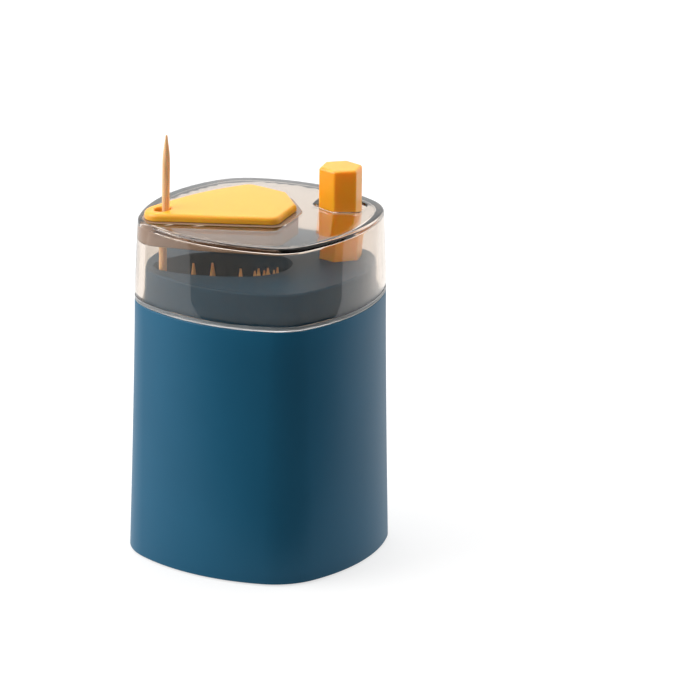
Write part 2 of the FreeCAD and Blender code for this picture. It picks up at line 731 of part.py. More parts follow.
def make_lifter():
    """Slotted fork on the lever's end pin, with the cup for one toothpick on top."""
    slot_half = pin_radius + slot_play
    low = pin_z - slot_half - slot_wall
    high = pin_z + slot_half + slot_wall
    cup_x_max = cup_x + cup_radius
    body = slab(fork_x_min, fork_x_max, -fork_outer, fork_outer, low, high)
    body = body.cut(slab(fork_x_min - 1.0, fork_x_max + 1.0, -fork_half, fork_half, low - 1.0, high))
    slot = slab(fork_x_min + slot_end_wall, fork_x_max - slot_end_wall, -fork_outer - 1.0, fork_outer + 1.0,
                pin_z - slot_half, pin_z + slot_half)
    body = body.cut(slot)
    bridge = slab(fork_x_min, cup_x_max, -fork_outer, fork_outer, high - 0.01, high + slot_wall)
    cup = rod(cup_radius, cup_x, 0, high, cup_z + cup_rim)
    body = body.fuse([bridge, cup])
    cone = Part.makeCone(pick_point_radius + fit_gap, cup_mouth_radius, cup_rim + 0.01,
                         V(cup_x, 0, cup_z), up)
    return body.cut(cone).removeSplitter()


def make_raised_toothpick():
    lean = raised_pick_lean_deg
    return pick_solid(cup_x, 0.0, cup_z + pick_seat_gap, lean, 0.0)


def make_toothpicks():
    """Loose toothpicks in the hopper: three that stand apart and a bunch."""
    side_y = channel_half + channel_wall + loose_pick_gap + pick_radius
    floor_z = hopper_floor_z + pick_seat_gap
    first_x = hopper_small_x + loose_pick_x
    picks = [pick_solid(first_x, side_y, floor_z, -1.0, -1.6),
             pick_solid(first_x + loose_pick_step, side_y, floor_z, -0.6, -1.9),
             pick_solid(hopper_big_x - loose_pick_step / 2.0, -side_y, floor_z, 0.8, 1.2)]
    bunch_x = hopper_big_x + bunch_from_big_x
    row_pitch = 0.9 * bunch_pitch
    for row, count in enumerate(bunch_rows):
        for i in range(count):
            x = bunch_x + (i - 0.5 * (row % 2)) * bunch_pitch - 0.4 * row
            y = -side_y - row * row_pitch
            picks.append(pick_solid(x, y, floor_z, 0.9 + 0.25 * i, 0.7 - 0.1 * row))
    return picks


def export(name, solids):
    """Writes one node's solid, or its group of separate solids."""
    if isinstance(solids, list):
        shape = Part.makeCompound(solids)
    else:
        shape = solids.Solids[0] if len(solids.Solids) == 1 else solids
    print(name, len(shape.Solids), shape.isValid(), round(shape.Volume, 1))
    shape.exportStep("parts/" + name + ".step")


os.makedirs("parts", exist_ok=True)
export("outer_shell", make_outer_shell())
export("base_plate", make_base_plate())
export("foot_pads", make_foot_pads())
export("housing_screws", make_screws(housing_screw_places()))
export("frame_screws", make_screws(frame_screw_places()))
export("inner_container", make_inner_container())
export("clear_cover", make_clear_cover())
export("outlet_pocket", make_outlet_pocket())
export("outlet_insert", make_outlet_insert())
export("push_button", make_push_button())
export("push_rod", make_push_rod())
export("return_spring", make_return_spring())
export("lever_frame", make_lever_frame())
export("lever_axle", make_lever_axle())
export("axle_clips", make_axle_clips())
export("lift_lever", make_lift_lever())
export("lever_pin", make_lever_pin())
export("lifter", make_lifter())
export("raised_toothpick", make_raised_toothpick())
export("toothpicks", make_toothpicks())
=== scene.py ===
import math

import bmesh
import bpy
from mathutils import Matrix, Quaternion, Vector, geometry


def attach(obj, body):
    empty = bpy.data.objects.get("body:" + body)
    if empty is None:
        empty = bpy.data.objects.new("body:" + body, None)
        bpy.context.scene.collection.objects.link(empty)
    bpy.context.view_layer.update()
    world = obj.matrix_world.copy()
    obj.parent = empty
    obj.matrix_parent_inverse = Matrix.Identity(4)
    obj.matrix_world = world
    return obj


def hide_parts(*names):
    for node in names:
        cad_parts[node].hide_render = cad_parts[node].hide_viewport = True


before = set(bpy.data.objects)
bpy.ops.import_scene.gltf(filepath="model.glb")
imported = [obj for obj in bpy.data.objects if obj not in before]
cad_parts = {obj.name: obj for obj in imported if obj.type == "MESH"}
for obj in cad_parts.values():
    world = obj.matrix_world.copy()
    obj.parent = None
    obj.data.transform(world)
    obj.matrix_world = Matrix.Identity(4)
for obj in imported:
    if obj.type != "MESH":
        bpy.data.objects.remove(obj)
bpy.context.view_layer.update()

# Outer shell.
# Satin sleeve moulded in blue ABS, tapered upwards, on a rounded-square plan that stands on
# its corner. Its upper rim carries the clear cover, and its foot hides the base plate.
mm = 0.001
side_bulge_radius = 54.0
base_flat, seam_flat, top_flat = 67.8, 64.7, 62.9
base_corner_radius, top_corner_radius = 18.4, 14.0
foot_flare, cover_taper = 1.3, 1.25
shell_foot_z, seam_z, cover_top_z = 0.4, 72.9, 98.0
shell_wall = 2.4
foot_rim_round, shell_rim_round = 0.35, 0.3
shell_stations, shell_end_gap = 14, 1.0
arc_steps = 24
weld_distance = 1e-7
sharp_angle = math.radians(32.0)
flow_mm = 22.0
grain_depth_mm = 0.05
gloss_drop, gloss_rise = 0.04, 0.06
plastic_ior = 1.49


def outer_flat(z):
    """Across the flats of the outer form at height z."""
    if z <= seam_z:
        return seam_flat + (base_flat - seam_flat) * (1.0 - z / seam_z) ** foot_flare
    above_seam = (z - seam_z) / (cover_top_z - seam_z)
    return seam_flat - (seam_flat - top_flat) * above_seam ** cover_taper


def arc(x, y, radius, start, sweep, steps):
    """Points of an arc round a centre, without its last point."""
    angles = [start + sweep * i / steps for i in range(steps)]
    return [Vector((x + radius * math.cos(a), y + radius * math.sin(a))) for a in angles]


def outline(z, inset=0.0):
    """Points of the rounded square at height z, drawn inset inside the outer form."""
    flat = outer_flat(z)
    side_r = side_bulge_radius * flat / base_flat
    corner_r = base_corner_radius + (top_corner_radius - base_corner_radius) * z / cover_top_z
    side_centre = (side_r - flat / 2.0) / math.sqrt(2.0)
    corner_centre = math.sqrt((side_r - corner_r) ** 2 - side_centre * side_centre) - side_centre
    turn = math.atan2(side_centre, corner_centre + side_centre)
    quarter = arc(corner_centre, 0.0, corner_r - inset, -turn, 2.0 * turn, arc_steps)
    quarter += arc(-side_centre, -side_centre, side_r - inset, turn, math.pi / 2.0 - 2.0 * turn,
                   arc_steps)
    return [Matrix.Rotation(i * math.pi / 2.0, 2) @ point for i in range(4) for point in quarter]


def level(points, z):
    """The plan points at height z, which may be a number or a function of x and y."""
    return [Vector((p.x, p.y, z(p.x, p.y) if callable(z) else z)) for p in points]


def loft(bm, rings):
    """Quads between closed rings of equally many points; returns the rings' vertices."""
    made = [[bm.verts.new(p * mm) for p in ring] for ring in rings]
    for low, high in zip(made, made[1:]):
        for i in range(len(low)):
            j = (i + 1) % len(low)
            bm.faces.new((low[i], low[j], high[j], high[i]))
    return made


def quarter_turn(steps):
    """Angles from zero to a right angle."""
    return [math.pi / 2.0 * i / steps for i in range(steps + 1)]


def round_over(z, radius, steps=6, top=True):
    """Heights and insets of a quarter round from the wall to the flat face."""
    sign = 1.0 if top else -1.0
    return [(z - sign * radius * (1.0 - math.sin(a)), radius * (1.0 - math.cos(a)))
            for a in quarter_turn(steps)]


def shell_rings():
    """Sections of the shell from the inner foot, round the outside and back down."""
    rings = [(shell_foot_z, shell_wall)]
    rings += reversed(round_over(shell_foot_z, foot_rim_round, top=False))
    first_z = shell_foot_z + shell_end_gap
    height = seam_z - shell_foot_z - 2.0 * shell_end_gap
    rings += [(first_z + height * (n / shell_stations), 0.0) for n in range(1, shell_stations)]
    rings += round_over(seam_z, shell_rim_round, steps=4)
    rings += [(seam_z, shell_wall), (seam_z / 2.0, shell_wall), (shell_foot_z, shell_wall)]
    return [level(outline(z, inset), z) for z, inset in rings]


def piece(name, bm, material, body, node):
    """Finishes a mesh, smooth up to the sharp angle, and puts it in a CAD node's place."""
    bmesh.ops.remove_doubles(bm, verts=bm.verts, dist=weld_distance)
    bmesh.ops.recalc_face_normals(bm, faces=bm.faces)
    for face in bm.faces:
        face.smooth = True
    for edge in bm.edges:
        edge.smooth = len(edge.link_faces) != 2 or edge.calc_face_angle(0.0) < sharp_angle
    mesh = bpy.data.meshes.new(name)
    bm.to_mesh(mesh)
    bm.free()
    made = bpy.data.objects.new(name, mesh)
    bpy.context.scene.collection.objects.link(made)
    mesh.materials.append(material)
    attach(made, body)
    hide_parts(node)
    return made


def srgb(code):
    """Linear colour of a hex code."""
    parts = [int(code[i:i + 2], 16) / 255.0 for i in (1, 3, 5)]
    return [p / 12.92 if p <= 0.04045 else ((p + 0.055) / 1.055) ** 2.4 for p in parts] + [1.0]


def add(material, kind, inputs=None, **settings):
    """Adds a node with its settings, values and links."""
    made = material.node_tree.nodes.new(kind)
    for key, value in settings.items():
        setattr(made, key, value)
    for key, value in (inputs or {}).items():
        if isinstance(value, bpy.types.NodeSocket):
            material.node_tree.links.new(value, made.inputs[key])
        else:
            made.inputs[key].default_value = value
    return made


def new_material(name):
    """An empty material, ready for its nodes."""
    material = bpy.data.materials.new(name)
    material.use_nodes = True
    material.node_tree.nodes.clear()
    return material


def moulded_plastic(name, dark, light, roughness, shine=0.5, grain_mm=0.35, grain=0.02,
                    sss=0.0, sss_mm=3.0):
    """Moulded plastic: faint flow in the colour, fine grain in the gloss and surface.

    A real mould's grain is finer than grain_mm, and is drawn as coarse as it has to be to
    show. sss is how much light goes through the skin, and sss_mm how far it spreads.
    """
    material = new_material(name)
    place = add(material, "ShaderNodeTexCoord").outputs["Object"]
    flow = add(material, "ShaderNodeTexNoise", {
        "Vector": place, "Scale": 1.0 / (flow_mm * mm), "Detail": 3.0})
    colour = add(material, "ShaderNodeMix", {
        "Factor": flow.outputs["Fac"], "A": srgb(dark), "B": srgb(light)}, data_type="RGBA")
    fine = add(material, "ShaderNodeTexNoise", {
        "Vector": place, "Scale": 1.0 / (grain_mm * mm), "Detail": 2.0})
    gloss = add(material, "ShaderNodeMapRange", {
        "Value": fine.outputs["Fac"], "To Min": roughness - gloss_drop,
        "To Max": roughness + gloss_rise})
    bump = add(material, "ShaderNodeBump", {
        "Height": fine.outputs["Fac"], "Strength": grain, "Distance": grain_depth_mm * mm})
    shader = add(material, "ShaderNodeBsdfPrincipled", {
        "Base Color": colour.outputs["Result"], "Roughness": gloss.outputs["Result"],
        "IOR": plastic_ior, "Specular IOR Level": shine, "Subsurface Weight": sss,
        "Subsurface Scale": sss_mm * mm, "Normal": bump.outputs["Normal"]})
    add(material, "ShaderNodeOutputMaterial", {"Surface": shader.outputs["BSDF"]})
    return material


# Satin ABS: an even deep blue with broad, soft highlights.
shell_plastic = moulded_plastic("blue satin ABS", "#0C5675", "#115F80", 0.42, shine=0.3)
bm = bmesh.new()
loft(bm, shell_rings())
piece("shell_body", bm, shell_plastic, "housing", "outer_shell")

# Inner container.
# One ABS moulding with the neck that the cover drops over, the deck, the egg-shaped hopper and
# the channel that hides the lever. It keeps its CAD mesh, because the channel is in it.


def dress(material, *names):
    """Gives CAD nodes a material."""
    for name in names:
        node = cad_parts[name]
        if not node.material_slots:
            node.data.materials.append(material)
        for slot in node.material_slots:
            slot.material = material


# The shell's satin ABS, darker and duller, with painted shade: the darker colour stands for the
# shade under the smoky cover, so it reads blue-grey through it.
shaded_container_plastic = moulded_plastic("deep blue satin ABS with painted shade", "#0D3B57", "#12435F", 0.45, shine=0.25)
dress(shaded_container_plastic, "inner_container")

# Clear cover.
# Thick cap moulded in clear, faintly smoky SAN, slightly domed, that drops over the neck. It has
# a stepped seat for the pocket, a bevelled hole for the button and a frosted band at its foot.
cover_wall, cover_top_thickness = 2.4, 2.2
cover_edge_round, cover_inner_round, cover_rim_round = 0.9, 0.5, 0.35
seam_gap, seat_gap, fit_gap = 0.05, 0.05, 0.1
cover_low_z = seam_z + seam_gap
cover_stations, cover_end_gap, cover_inner_drop = 6, 3.0, 5.0
dome_radius = 370.0
cover_hex_gap, cover_hex_bevel = 1.4, 0.7
band_height, band_groove, band_step = 1.4, 0.3, 0.12
groove_low, groove_middle, groove_high = 0.38, 0.52, 0.66
button_x, button_side, button_corner_round = 22.4, 6.2, 0.8
insert_tip_x, insert_tip_radius = -32.8, 5.0
insert_side_x, insert_side_half, insert_side_round = -14.0, 12.5, 90.0
insert_shoulder_x, insert_half_width, insert_shoulder_round = 0.6, 17.2, 3.0
insert_end_x, insert_end_half, insert_end_round = 8.6, 6.0, 1.2
rim_grow, rim_tip_grow, rim_thickness = 1.5, 0.6, 1.0
wall_grow, wall_tip_grow = 0.5, 0.2
least_round = 0.3
least_hex_round = 0.2
rim_clearance = 0.6
join_distance = 1e-6
swirl_mm, swirl_depth_mm = 9.0, 0.2
swirl_rise = 0.03
clear_ior = 1.5


def rounded_polygon(points, radii, arc_points, side_points=8):
    """Points of a convex polygon, given anticlockwise, with its corners rounded."""
    count = len(points)
    arcs = []
    for i in range(count):
        corner, radius = points[i], radii[i]
        before = (points[i - 1] - corner).normalized()
        after = (points[(i + 1) % count] - corner).normalized()
        half = before.angle(after) / 2.0
        centre = corner + (before + after).normalized() * radius / math.sin(half)
        start = math.atan2(-before.x, before.y) + math.pi
        sweep = math.pi - 2.0 * half
        angles = [start + sweep * n / arc_points for n in range(arc_points + 1)]
        arcs.append([centre + radius * Vector((math.cos(a), math.sin(a))) for a in angles])
    made = []
    for i in range(count):
        first, last = arcs[i][-1], arcs[(i + 1) % count][0]
        made += arcs[i]
        made += [first.lerp(last, n / side_points) for n in range(1, side_points)]
    return made


def hexagon(grow):
    """Points of the button's hexagon, grown so that its corners move out by grow."""
    reach = button_side + grow
    turns = [i * math.pi / 3.0 for i in range(6)]
    corners = [Vector((button_x + reach * math.cos(a), reach * math.sin(a))) for a in turns]
    return rounded_polygon(corners, [max(button_corner_round + grow, least_hex_round)] * 6, 6)


def inside(point, loop):
    """Whether a point lies in a closed loop of points."""
    hit = False
    for a, b in zip(loop, loop[1:] + loop[:1]):
        if (a.y > point.y) != (b.y > point.y):
            if point.x < a.x + (point.y - a.y) * (b.x - a.x) / (b.y - a.y):
                hit = not hit
    return hit


def fill(bm, outer, holes, height, spacing=2.0):
    """Fine triangles over a region with holes, at a height or on a curved height."""
    loops = [[Vector((p.x, p.y)) for p in loop] for loop in [outer] + holes]
    points, edges = [], []
    for loop in loops:
        first = len(points)
        points += loop
        edges += [(first + i, first + (i + 1) % len(loop)) for i in range(len(loop))]
    rim = list(points)
    xs, ys = [p.x for p in loops[0]], [p.y for p in loops[0]]

    def on_region(spot):
        return inside(spot, loops[0]) and not any(inside(spot, hole) for hole in loops[1:])

    for i in range(int((max(xs) - min(xs)) / spacing) + 1):
        for j in range(int((max(ys) - min(ys)) / spacing) + 1):
            spot = Vector((min(xs) + (i + 0.5 * (j % 2)) * spacing, min(ys) + j * spacing))
            if on_region(spot) and min((spot - p).length for p in rim) > rim_clearance * spacing:
                points.append(spot)
    flat, _, faces, _, _, _ = geometry.delaunay_2d_cdt(points, edges, [], 1, join_distance)
    verts = [bm.verts.new(p * mm) for p in level(flat, height)]
    for face in faces:
        if on_region(sum((flat[i] for i in face), Vector((0.0, 0.0))) / len(face)):
            bm.faces.new([verts[i] for i in face])


def dome(offset):
    """Height of the domed top, moved outwards by offset, as a function of place."""
    radius = dome_radius + offset
    return lambda x, y: cover_top_z - dome_radius + math.sqrt(radius ** 2 - x * x - y * y)


def domed_edge(plan, top, radius, steps):
    """Rings of a quarter round up to a domed face; plan gives the outline at an inset."""
    return [level(plan(radius * (1.0 - math.cos(a))),
                  lambda x, y, a=a: top(x, y) - radius * (1.0 - math.sin(a)))
            for a in quarter_turn(steps)]


def fan(grow, tip_grow):
    """Points of the insert's fan outline, grown outwards."""
    centre_x = insert_tip_x + insert_tip_radius
    reach = math.hypot(insert_side_x - centre_x, insert_side_half)
    slope = math.atan2(insert_side_half, insert_side_x - centre_x)
    slope -= math.asin(insert_tip_radius / reach)
    lower = [Vector((insert_side_x, -insert_side_half)),
             Vector((insert_shoulder_x, -insert_half_width)),
             Vector((insert_end_x, -insert_end_half))]
    apex = Vector((insert_side_x - insert_side_half / math.tan(slope), 0.0))
    corners = [apex] + lower + [Vector((p.x, -p.y)) for p in reversed(lower)]
    moved = []
    for i, corner in enumerate(corners):
        before = (corner - corners[i - 1]).normalized()
        after = (corners[(i + 1) % len(corners)] - corner).normalized()
        out = Vector((before.y, -before.x)) + Vector((after.y, -after.x))
        moved.append(corner + out * (2.0 * grow / out.length_squared))
    tip = (insert_tip_x - tip_grow - moved[0].x) / (1.0 / math.sin(slope) - 1.0)
    side = insert_side_round + grow
    shoulder = max(insert_shoulder_round + grow, least_round)
    end = max(insert_end_round + grow, least_round)
    return rounded_polygon(moved, [tip, side, shoulder, end, end, shoulder, side], 12)


def cover_wall_rings(edge_z):
    """Sections of the cover's wall down the inside, round its foot and up the outside."""
    inner_z = edge_z - cover_inner_drop
    rings = [(inner_z + (cover_low_z - edge_z + cover_inner_drop) * n / cover_stations, cover_wall)
             for n in range(cover_stations)]
    foot = round_over(cover_low_z, cover_rim_round, steps=4, top=False)
    rings += [(z, cover_wall - inset) for z, inset in foot]
    rings += reversed(foot)
    band_top_z = cover_low_z + band_height
    rings += [(cover_low_z + band_height * groove_low, 0.0),
              (cover_low_z + band_height * groove_middle, band_groove),
              (cover_low_z + band_height * groove_high, 0.0),
              (band_top_z, 0.0), (band_top_z + band_step, band_groove / 2.0)]
    first_z = cover_low_z + cover_end_gap
    height = edge_z - cover_low_z - 2.0 * cover_end_gap
    rings += [(first_z + height * n / cover_stations, 0.0) for n in range(cover_stations + 1)]
    return [level(outline(z, inset), z) for z, inset in rings]


def make_cover():
    """The cap: its wall and edges, the domed faces, the pocket's seat and the button's hole."""
    bm = bmesh.new()
    inner_top, outer_top = dome(-cover_top_thickness), dome(0.0)
    edge_z = outer_top(0.0, top_flat / 2.0)
    inner_edge = domed_edge(lambda inset: outline(edge_z, cover_wall + inset), inner_top,
                            cover_inner_round, 5)
    outer_edge = domed_edge(lambda inset: outline(edge_z, inset), outer_top, cover_edge_round, 8)
    rings = inner_edge[::-1] + cover_wall_rings(edge_z) + outer_edge
    loft(bm, rings)

    seat_top = fan(rim_grow + fit_gap, rim_tip_grow + fit_gap)
    seat_low = fan(wall_grow + fit_gap, wall_tip_grow + fit_gap)
    seat = dome(-rim_thickness - seat_gap)
    hole = hexagon(cover_hex_gap)
    mouth = hexagon(cover_hex_gap + cover_hex_bevel)
    fill(bm, rings[-1], [seat_top, mouth], outer_top)
    loft(bm, [level(seat_top, outer_top), level(seat_top, seat), level(seat_low, seat),
              level(seat_low, inner_top)])
    loft(bm, [level(mouth, outer_top), level(hole, lambda x, y: outer_top(x, y) - cover_hex_bevel),
              level(hole, inner_top)])
    fill(bm, rings[0], [seat_low, hole], inner_top)
    return bm


def clear_plastic(name, tint, roughness, weight=1.0, smoke=None, smoke_mm=30.0):
    """Clear moulded plastic; light fades with depth, to about a third over smoke_mm."""
    material = new_material(name)
    place = add(material, "ShaderNodeTexCoord").outputs["Object"]
    swirl = add(material, "ShaderNodeTexNoise", {
        "Vector": place, "Scale": 1.0 / (swirl_mm * mm), "Detail": 2.0})
    bump = add(material, "ShaderNodeBump", {
        "Height": swirl.outputs["Fac"], "Strength": 0.05, "Distance": swirl_depth_mm * mm})
    gloss = add(material, "ShaderNodeMapRange", {
        "Value": swirl.outputs["Fac"], "To Min": roughness, "To Max": roughness + swirl_rise})
    shader = add(material, "ShaderNodeBsdfPrincipled", {
        "Base Color": srgb(tint), "Roughness": gloss.outputs["Result"], "IOR": clear_ior,
        "Transmission Weight": weight, "Normal": bump.outputs["Normal"]})
    light = add(material, "ShaderNodeLightPath")
    clear = add(material, "ShaderNodeBsdfTransparent", {"Color": srgb(tint)})
    mixed = add(material, "ShaderNodeMixShader", {
        0: light.outputs["Is Shadow Ray"], 1: shader.outputs["BSDF"], 2: clear.outputs["BSDF"]})
    out = add(material, "ShaderNodeOutputMaterial", {"Surface": mixed.outputs["Shader"]})
    if smoke:
        depth = add(material, "ShaderNodeVolumeAbsorption", {
            "Color": srgb(smoke), "Density": 1.0 / (smoke_mm * mm)})
        material.node_tree.links.new(depth.outputs["Volume"], out.inputs["Volume"])
    return material


# Polished SAN: sharp highlights, and a brown tint that deepens where the wall is seen edge on.
cover_plastic = clear_plastic("clear smoky SAN", "#EFE8E1", 0.02, smoke="#DCC2A2", smoke_mm=19.0)
# Frosted SAN: a pale, dull line just above the seam.
band_plastic = clear_plastic("frosted SAN", "#C8CCCE", 0.3, 0.7)
cover = piece("cover_body", make_cover(), cover_plastic, "cover", "clear_cover")
cover.data.materials.append(band_plastic)
for face in cover.data.polygons:
    outward = face.normal.x * face.center.x + face.normal.y * face.center.y > 0.0
    if outward and face.center.z < (cover_low_z + band_height) * mm:
        face.material_index = 1

# Outlet pocket.
# Tray moulded in smoky SAN that hangs in the cover's opening on a thin rim. It carries the
# insert, and the toothpick rises through the hole in its floor.
pocket_wall, pocket_depth, pocket_floor, pocket_low_round = 1.2, 8.0, 1.0, 0.5
outlet_x, outlet_radius = -27.8, 2.3


def circle(x, radius, steps=40):
    """Points of a circle round a place on the middle line."""
    return arc(x, 0.0, radius, 0.0, 2.0 * math.pi, steps)


def make_pocket():
    """The tray: from its lower edge up to the rim, down inside it, and its floor."""
    bm = bmesh.new()
    top, under = dome(0.0), dome(-rim_thickness)
    low_z = cover_top_z - pocket_depth
    floor_z = low_z + pocket_floor
    wall, rim = fan(wall_grow, wall_tip_grow), fan(rim_grow, rim_tip_grow)
    inner = fan(wall_grow - pocket_wall, wall_tip_grow - pocket_wall)
    low_edge = reversed(round_over(low_z, pocket_low_round, steps=4, top=False))
    rings = [level(fan(wall_grow - inset, wall_tip_grow - inset), z) for z, inset in low_edge]
    rings += [level(wall, under), level(rim, under), level(rim, top), level(inner, top),
              level(inner, floor_z)]
    loft(bm, rings)
    hole = circle(outlet_x, outlet_radius)
    fill(bm, rings[0], [hole], low_z)
    fill(bm, rings[-1], [hole], floor_z)
    loft(bm, [level(hole, low_z), level(hole, floor_z)])
    return bm


# Smoky SAN, half clear: it blurs what lies behind it into a soft brown.
pocket_plastic = clear_plastic("smoky SAN", "#AD937D", 0.2, 0.4)
piece("pocket_body", make_pocket(), pocket_plastic, "cover", "outlet_pocket")

# Outlet insert.
# Fan-shaped plate moulded in yellow PP with a soft edge, domed like the cover. The outlet goes
# through its tip, and a plug rim under it sits in the pocket.
insert_proud, insert_gap, insert_chamfer, insert_edge_round = 2.2, 0.05, 0.2, 1.1
insert_plug_wall, insert_plug_depth = 1.2, 5.4
outlet_lip = 0.5


def make_insert():
    """The plate with its edge and outlet, and the plug rim as a ring that runs into it."""
    bm = bmesh.new()
    top, under = dome(insert_proud), dome(insert_gap)
    rings = [level(fan(-insert_chamfer, -insert_chamfer), under),
             level(fan(0.0, 0.0), dome(insert_gap + insert_chamfer))]
    rings += domed_edge(lambda inset: fan(-inset, -inset), top, insert_edge_round, 8)
    loft(bm, rings)
    mouth = [level(circle(outlet_x, outlet_radius + outlet_lip * (1.0 - math.sin(a))),
                   lambda x, y, a=a: top(x, y) - outlet_lip * (1.0 - math.cos(a)))
             for a in quarter_turn(4)]
    hole = level(circle(outlet_x, outlet_radius), under)
    loft(bm, mouth + [hole])
    fill(bm, rings[-1], [mouth[0]], top)
    fill(bm, rings[0], [hole], under)

    plug_low_z = cover_top_z - insert_plug_depth
    inset = pocket_wall - wall_grow + fit_gap
    tip_inset = pocket_wall - wall_tip_grow + fit_gap
    outer = fan(-inset, -tip_inset)
    inner = fan(-inset - insert_plug_wall, -tip_inset - insert_plug_wall / 2.0)
    middle = dome(insert_proud / 2.0)
    loft(bm, [level(outer, middle), level(outer, plug_low_z), level(inner, plug_low_z),
              level(inner, middle), level(outer, middle)])
    return bm


# PP with a little light inside it: a warm, even yellow with soft shadows.
insert_plastic = moulded_plastic("yellow PP", "#FFAC26", "#FFB230", 0.34, sss=0.4)
piece("insert_body", make_insert(), insert_plastic, "cover", "outlet_insert")

# Push button.
# Hexagonal bar moulded in translucent orange-yellow PP with soft corners. It stands on the
# rod, and is held down to its working height.
button_edge_round, button_proud, button_low_z, button_top_spacing = 0.9, 10.4, 66.0, 1.2


def make_button():
    """The bar with its soft top edge, closed at both ends."""
    bm = bmesh.new()
    top_z = cover_top_z + button_proud
    rings = [level(hexagon(0.0), button_low_z)]
    rings += [level(hexagon(-inset), z) for z, inset in round_over(top_z, button_edge_round)]
    loft(bm, rings)
    fill(bm, rings[-1], [], top_z, button_top_spacing)
    fill(bm, rings[0], [], button_low_z)
    return bm


# PP that lets more light in: an orange that stays bright on the shaded sides.
button_plastic = moulded_plastic("orange yellow PP", "#FFAA1A", "#FFB022", 0.3, sss=0.7, sss_mm=6.0)
piece("button_body", make_button(), button_plastic, "button", "push_button")

# Toothpicks.
# Double-pointed picks turned from birch. One stands in the lifter's cup, up through the
# outlet, and the others stand on the hopper's floor.
pick_length, pick_radius, pick_point_length, pick_point_radius = 65.0, 1.05, 8.0, 0.25
pick_point_power = 1.2
pick_steps, pick_round = 8, 20
cup_x, cup_z, pick_seat_gap, raised_lean_deg = -27.45, 55.0, 0.05, 0.7
hopper_small_x, hopper_big_x, hopper_floor_z = -23.5, -5.0, 17.0
loose_pick_x, loose_pick_step, loose_pick_y = 6.5, 4.8, 5.25
bunch_from_big_x, bunch_pitch, bunch_rows = 2.4, 2.35, (3, 3, 2)
bunch_row_shift, bunch_row_share = 0.4, 0.9
bunch_lean_x_deg, bunch_lean_x_step = 0.9, 0.25
bunch_lean_y_deg, bunch_lean_y_step = 0.7, 0.1
wood_grain_mm, wood_grain_squeeze, wood_grain_depth_mm = 0.5, 0.06, 0.06


def pick_rings():
    """Height and radius along one pick, with softly turned points."""
    swell = pick_radius - pick_point_radius
    low = [(pick_point_length * n / pick_steps,
            pick_point_radius + swell * math.sin(a) ** pick_point_power)
           for n, a in enumerate(quarter_turn(pick_steps))]
    body_length = pick_length - 2.0 * pick_point_length
    body = [(pick_point_length + body_length * n / pick_steps, pick_radius)
            for n in range(1, pick_steps)]
    return low + body + [(pick_length - z, radius) for z, radius in reversed(low)]


def add_pick(bm, x, y, z, lean_x_deg, lean_y_deg):
    """One pick with its lower point at a place, leaning along x and along y."""
    turn = (Matrix.Rotation(math.radians(-lean_y_deg), 4, "X")
            @ Matrix.Rotation(math.radians(lean_x_deg), 4, "Y"))
    place = Matrix.Translation(Vector((x, y, z))) @ turn
    rings = [[place @ Vector((p.x, p.y, height)) for p in circle(0.0, radius, pick_round)]
             for height, radius in pick_rings()]
    made = loft(bm, rings)
    bm.faces.new(made[0][::-1])
    bm.faces.new(made[-1])


def pick_wood():
    """Pale birch with grain along the pick and a rough cut surface."""
    material = new_material("birch wood")
    place = add(material, "ShaderNodeTexCoord").outputs["Object"]
    along = add(material, "ShaderNodeMapping", {
        "Vector": place, "Scale": (1.0, 1.0, wood_grain_squeeze)})
    grain = add(material, "ShaderNodeTexNoise", {
        "Vector": along.outputs["Vector"], "Scale": 1.0 / (wood_grain_mm * mm),
        "Detail": 4.0, "Roughness": 0.6})
    tone = add(material, "ShaderNodeValToRGB", {"Fac": grain.outputs["Fac"]})
    dark, light = tone.color_ramp.elements
    dark.position, dark.color = 0.3, srgb("#E0AC6C")
    light.position, light.color = 0.7, srgb("#F8D5A4")
    bump = add(material, "ShaderNodeBump", {
        "Height": grain.outputs["Fac"], "Strength": 0.35, "Distance": wood_grain_depth_mm * mm})
    shader = add(material, "ShaderNodeBsdfPrincipled", {
        "Base Color": tone.outputs["Color"], "Roughness": 0.6, "IOR": 1.5,
        "Subsurface Weight": 0.35, "Subsurface Scale": 2.0 * mm,
        "Normal": bump.outputs["Normal"]})
    add(material, "ShaderNodeOutputMaterial", {"Surface": shader.outputs["BSDF"]})
    return material


# Birch: pale and matt, with darker streaks that run up the pick.
birch = pick_wood()
bm = bmesh.new()
add_pick(bm, cup_x, 0.0, cup_z + pick_seat_gap, raised_lean_deg, 0.0)
piece("raised_pick", bm, birch, "lifter", "raised_toothpick")

bm = bmesh.new()
pick_z = hopper_floor_z + pick_seat_gap
first_x = hopper_small_x + loose_pick_x
single_x = hopper_big_x - loose_pick_step / 2.0
add_pick(bm, first_x, loose_pick_y, pick_z, lean_x_deg=-1.0, lean_y_deg=-1.6)
add_pick(bm, first_x + loose_pick_step, loose_pick_y, pick_z, lean_x_deg=-0.6, lean_y_deg=-1.9)
add_pick(bm, single_x, -loose_pick_y, pick_z, lean_x_deg=0.8, lean_y_deg=1.2)
for row, count in enumerate(bunch_rows):
    y = -loose_pick_y - row * bunch_row_share * bunch_pitch
    for i in range(count):
        along_row = (i - 0.5 * (row % 2)) * bunch_pitch
        x = hopper_big_x + bunch_from_big_x + along_row - bunch_row_shift * row
        add_pick(bm, x, y, pick_z, bunch_lean_x_deg + bunch_lean_x_step * i,
                 bunch_lean_y_deg - bunch_lean_y_step * row)
piece("hopper_picks", bm, birch, "housing", "toothpicks")

# Works, base and fixings.
# Acetal lever, frame and lifter, steel rod, axle, pin, clips, spring and screws, a base plate in
# the container's ABS, darkened with painted shade, and rubber feet. They keep their CAD shapes
# and get their materials here.
steel_line_mm, steel_line_squeeze = 0.2, 0.1


